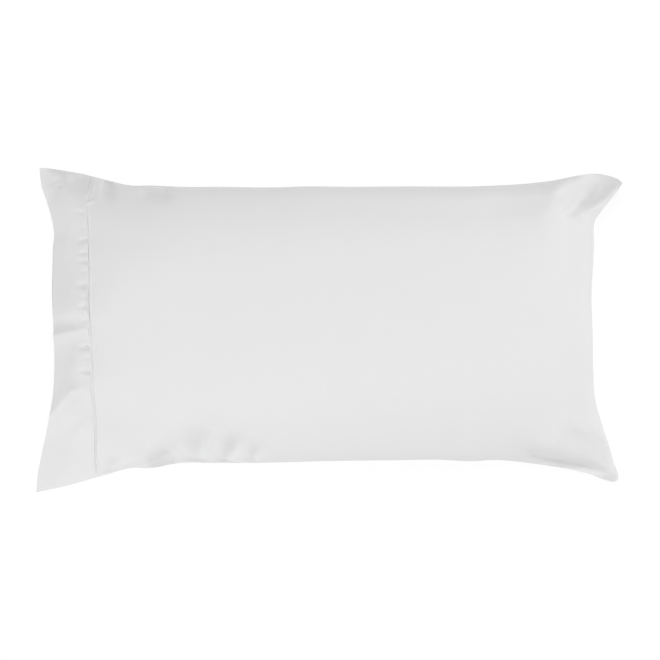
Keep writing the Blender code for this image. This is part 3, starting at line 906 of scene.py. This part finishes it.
def thread_material(cotton):
    """Twisted sewing thread."""
    shader = Shader("sewing thread")
    place = shader.node("ShaderNodeTexCoord", output="Object")
    twist = shader.node(
        "ShaderNodeTexNoise", values={"Vector": place, "Scale": TWIST, "Detail": 1.0}
    )
    bump = shader.node(
        "ShaderNodeBump", values={"Strength": 0.4, "Distance": 0.0001, "Height": twist}
    )
    return shader.set(
        Base_Color=(*cotton.thread, 1),
        Roughness=0.75 + 0.1 * twist,
        Normal=bump,
        Sheen_Weight=cotton.sheen,
    )


# ------------------------------------------------------------------------------------ operators


class PILLOWCASE_OT_case(bpy.types.Operator):
    """Make the filled cotton case, with its hem, seams, creases and mouth"""

    bl_idname = "pillowcase.case"
    bl_label = "Cotton case"

    def execute(self, context):
        scene = context.scene
        case = scene.pillowcase
        lying = LyingCase(case, scene.pillowcase_stitching)
        up, low = lying.faces()
        cloth = Cloth()
        u, v = lying.u, lying.v
        strides = [1 if place < case.hem_depth + FINE_MARGIN else 2 for place in u]
        cloth.add(up, u, v, CHARTS["upper"], strides)
        cloth.add(low, u, v, CHARTS["lower"], [2] * len(u))
        self.add_seams(cloth, up, low, lying)
        self.add_mouth(cloth, up, low, lying)
        mesh = cloth.finished("case")
        piece = placed("case", mesh, cotton_material(scene.pillowcase_cotton))
        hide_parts("pillowcase")
        return {"FINISHED"}

    @staticmethod
    def add_seams(cloth, up, low, lying):
        """The rounded edge between the faces along both sides and the closed end."""
        seam = lying.case.seam
        for line, outwards, place, stride in (
            ((slice(None), 0), (0, -1, 0), lying.u, 1),
            ((slice(None), -1), (0, 1, 0), lying.u, 1),
            ((-1, slice(None)), (1, 0, 0), lying.v, 2),
        ):
            top, bottom = up[line], low[line]
            middle = (top + bottom) / 2 + np.array(outwards) * seam * SEAM_BULGE
            rows = np.stack((top, middle, bottom))
            cloth.add(rows, np.array((0, seam / 2, seam)), place, CHARTS["seam"], [stride] * 3)

    @staticmethod
    def add_mouth(cloth, up, low, lying):
        """The rounded lips, the inside of the hem and the pillow's end behind it."""
        case = lying.case
        deep = int(np.searchsorted(lying.u, case.pocket)) + 1
        outer_up, outer_low = up[:deep], low[:deep]
        open_share = 1 - np.abs(2 * lying.t[:deep] - 1) ** MOUTH_POWER
        thickness = case.lip * normals_of(up)[:deep]
        roof = outer_up - thickness
        floor = outer_low + np.array((0, 0, case.lip))
        middle = (outer_up + outer_low) / 2
        roof = middle + (roof - middle) * open_share[..., None]
        floor = middle + (floor - middle) * open_share[..., None]
        for outer, inner, stride in ((outer_up, roof, 1), (outer_low, floor, 2)):
            edge = (outer[0] + inner[0]) / 2
            half = (outer[0] - inner[0]) / 2
            out = np.array((-1.0, 0, 0)) * np.linalg.norm(half, axis=-1, keepdims=True)
            angles = np.radians(LIP_ANGLES)
            lip = np.stack([edge + math.sin(a) * half + math.cos(a) * out for a in angles])
            around = np.linspace(0, case.lip, len(angles))
            cloth.add(lip, around, lying.v, CHARTS["lip"], [stride] * len(angles))
        cloth.add(roof, lying.u[:deep], lying.v, CHARTS["roof"])
        cloth.add(floor, lying.u[:deep], lying.v, CHARTS["floor"], [2] * deep)
        back_up, back_low = roof[-1], floor[-1]
        bulge = np.array((-PILLOW_BULGE, 0, 0)) * open_share[-1][:, None]
        back = np.stack((back_up, (back_up + back_low) / 2 + bulge, back_low))
        cloth.add(back, np.array(BACK_PLACES), lying.v, CHARTS["back"], [1, 2, 2])


class PILLOWCASE_OT_stitches(bpy.types.Operator):
    """Make the hem's row of stitches, on the upper and the lower face"""

    bl_idname = "pillowcase.stitches"
    bl_label = "Hem stitches"

    def execute(self, context):
        scene = context.scene
        lying = LyingCase(scene.pillowcase, scene.pillowcase_stitching)
        up, low = lying.faces()
        place = scene.pillowcase.hem_depth - scene.pillowcase_stitching.turning
        at = int(np.argmin(np.abs(lying.u - place)))
        bm = bmesh.new()
        for face, side in ((up, 1), (low, -1)):
            normal = normals_of(face)[at] * side
            self.sew(bm, face[at], normal, scene.pillowcase_stitching)
        mesh = bpy.data.meshes.new("hem_stitches")
        bm.to_mesh(mesh)
        bm.free()
        mesh.shade_smooth()
        placed("hem_stitches", mesh, thread_material(scene.pillowcase_cotton))
        return {"FINISHED"}

    def sew(self, bm, line, normal, stitching):
        """Stitches along a line of points."""
        run = np.concatenate(([0], np.cumsum(np.linalg.norm(np.diff(line, axis=0), axis=1))))
        count = int((run[-1] - 2 * STITCH_MARGIN) / stitching.pitch)
        for k in range(count):
            ends = STITCH_MARGIN + stitching.pitch * k + np.array((0, stitching.length))
            start, end = (self.at(line, run, place) for place in ends)
            up = self.at(normal, run, ends.mean())
            self.stitch(bm, start, end, up / np.linalg.norm(up), stitching.thread / 2)

    @staticmethod
    def at(values, run, place):
        """The values at a distance along the line."""
        return np.array([np.interp(place, run, values[:, axis]) for axis in range(3)])

    @staticmethod
    def stitch(bm, start, end, up, radius):
        """One stitch: a short thread that arches out of the cloth and dives in at both ends."""
        along = (end - start) / np.linalg.norm(end - start)
        side = np.cross(up, along)
        rings = []
        for f, height, size in STITCH_RINGS:
            centre = start + (end - start) * f + up * height * radius
            ring = [
                bm.verts.new(centre + radius * size * (side * math.cos(a) + up * math.sin(a)))
                for a in np.linspace(0, 2 * math.pi, STITCH_SIDES + 1)[:-1]
            ]
            rings.append(ring)
        for first, second in zip(rings, rings[1:]):
            for k in range(STITCH_SIDES):
                n = (k + 1) % STITCH_SIDES
                bm.faces.new((first[k], second[k], second[n], first[n]))
        bm.faces.new(rings[0])
        bm.faces.new(rings[-1][::-1])


class PILLOWCASE_OT_studio(bpy.types.Operator):
    """Make the pale floor, the soft lights and the camera above the pillow"""

    bl_idname = "pillowcase.studio"
    bl_label = "Studio"

    def execute(self, context):
        studio = context.scene.pillowcase_studio
        self.floor(studio)
        self.sky(context.scene, studio)
        for softbox in SOFTBOXES:
            self.light(softbox, studio)
        self.camera(context.scene, studio)
        context.scene.view_settings.view_transform = "Standard"
        return {"FINISHED"}

    @staticmethod
    def floor(studio):
        """A wide pale floor that glows a little."""
        bm = bmesh.new()
        bmesh.ops.create_grid(bm, x_segments=1, y_segments=1, size=studio.floor_size / 2)
        mesh = bpy.data.meshes.new("floor")
        bm.to_mesh(mesh)
        bm.free()
        shader = Shader("pale floor")
        mesh.materials.append(
            shader.set(
                Base_Color=(*studio.floor, 1),
                Roughness=0.9,
                Specular_IOR_Level=0.0,
                Emission_Color=(1, 1, 1, 1),
                Emission_Strength=studio.floor_glow,
            )
        )
        floor = bpy.data.objects.new("floor", mesh)
        floor.location.z = -studio.floor_drop
        bpy.context.scene.collection.objects.link(floor)

    @staticmethod
    def sky(scene, studio):
        """Even white light from all round."""
        world = bpy.data.worlds.new("white surroundings")
        world.use_nodes = True
        background = world.node_tree.nodes["Background"]
        background.inputs["Color"].default_value = (1, 1, 1, 1)
        background.inputs["Strength"].default_value = studio.sky
        scene.world = world

    @staticmethod
    def light(softbox, studio):
        """A large square softbox, aimed at the pillow."""
        light = bpy.data.lights.new(softbox.name, "AREA")
        light.shape, light.size = "SQUARE", studio.light_size
        light.energy = softbox.power * studio.brightness
        azimuth, elevation = math.radians(softbox.azimuth), math.radians(softbox.elevation)
        towards = Vector((math.cos(azimuth), math.sin(azimuth), math.tan(elevation))).normalized()
        lamp = bpy.data.objects.new(softbox.name, light)
        lamp.location = towards * studio.light_distance
        lamp.rotation_euler = towards.to_track_quat("Z", "Y").to_euler()
        lamp.visible_camera = False
        bpy.context.scene.collection.objects.link(lamp)

    @staticmethod
    def camera(scene, studio):
        """A long lens straight above the pillow."""
        data = bpy.data.cameras.new("camera")
        data.lens = studio.lens
        camera = bpy.data.objects.new("camera", data)
        distance = studio.view_width * studio.lens / data.sensor_width
        camera.location = (studio.view_shift, 0, studio.view_height + distance)
        scene.collection.objects.link(camera)
        scene.camera = camera


class PILLOWCASE_PT_panel(bpy.types.Panel):
    """The pieces and their settings"""

    bl_idname = "PILLOWCASE_PT_panel"
    bl_label = "Pillowcase"
    bl_space_type = "VIEW_3D"
    bl_region_type = "UI"
    bl_category = "Pillowcase"

    def draw(self, context):
        for operator, groups in STEPS:
            box = self.layout.box()
            box.operator(operator)
            for group in groups:
                settings = getattr(context.scene, group)
                for name in settings.__annotations__:
                    box.prop(settings, name)


STEPS = (
    ("pillowcase.case", ("pillowcase", "pillowcase_cotton")),
    ("pillowcase.stitches", ("pillowcase_stitching",)),
    ("pillowcase.studio", ("pillowcase_studio",)),
)
CLASSES = (
    *GROUPS.values(),
    PILLOWCASE_OT_case,
    PILLOWCASE_OT_stitches,
    PILLOWCASE_OT_studio,
    PILLOWCASE_PT_panel,
)


def register():
    for cls in CLASSES:
        bpy.utils.register_class(cls)
    for name, group in GROUPS.items():
        setattr(bpy.types.Scene, name, bpy.props.PointerProperty(type=group))


def unregister():
    for name in GROUPS:
        delattr(bpy.types.Scene, name)
    for cls in reversed(CLASSES):
        bpy.utils.unregister_class(cls)


def main():
    register()
    bpy.ops.pillowcase.case()
    bpy.ops.pillowcase.stitches()
    bpy.ops.pillowcase.studio()


if __name__ == "__main__":
    main()
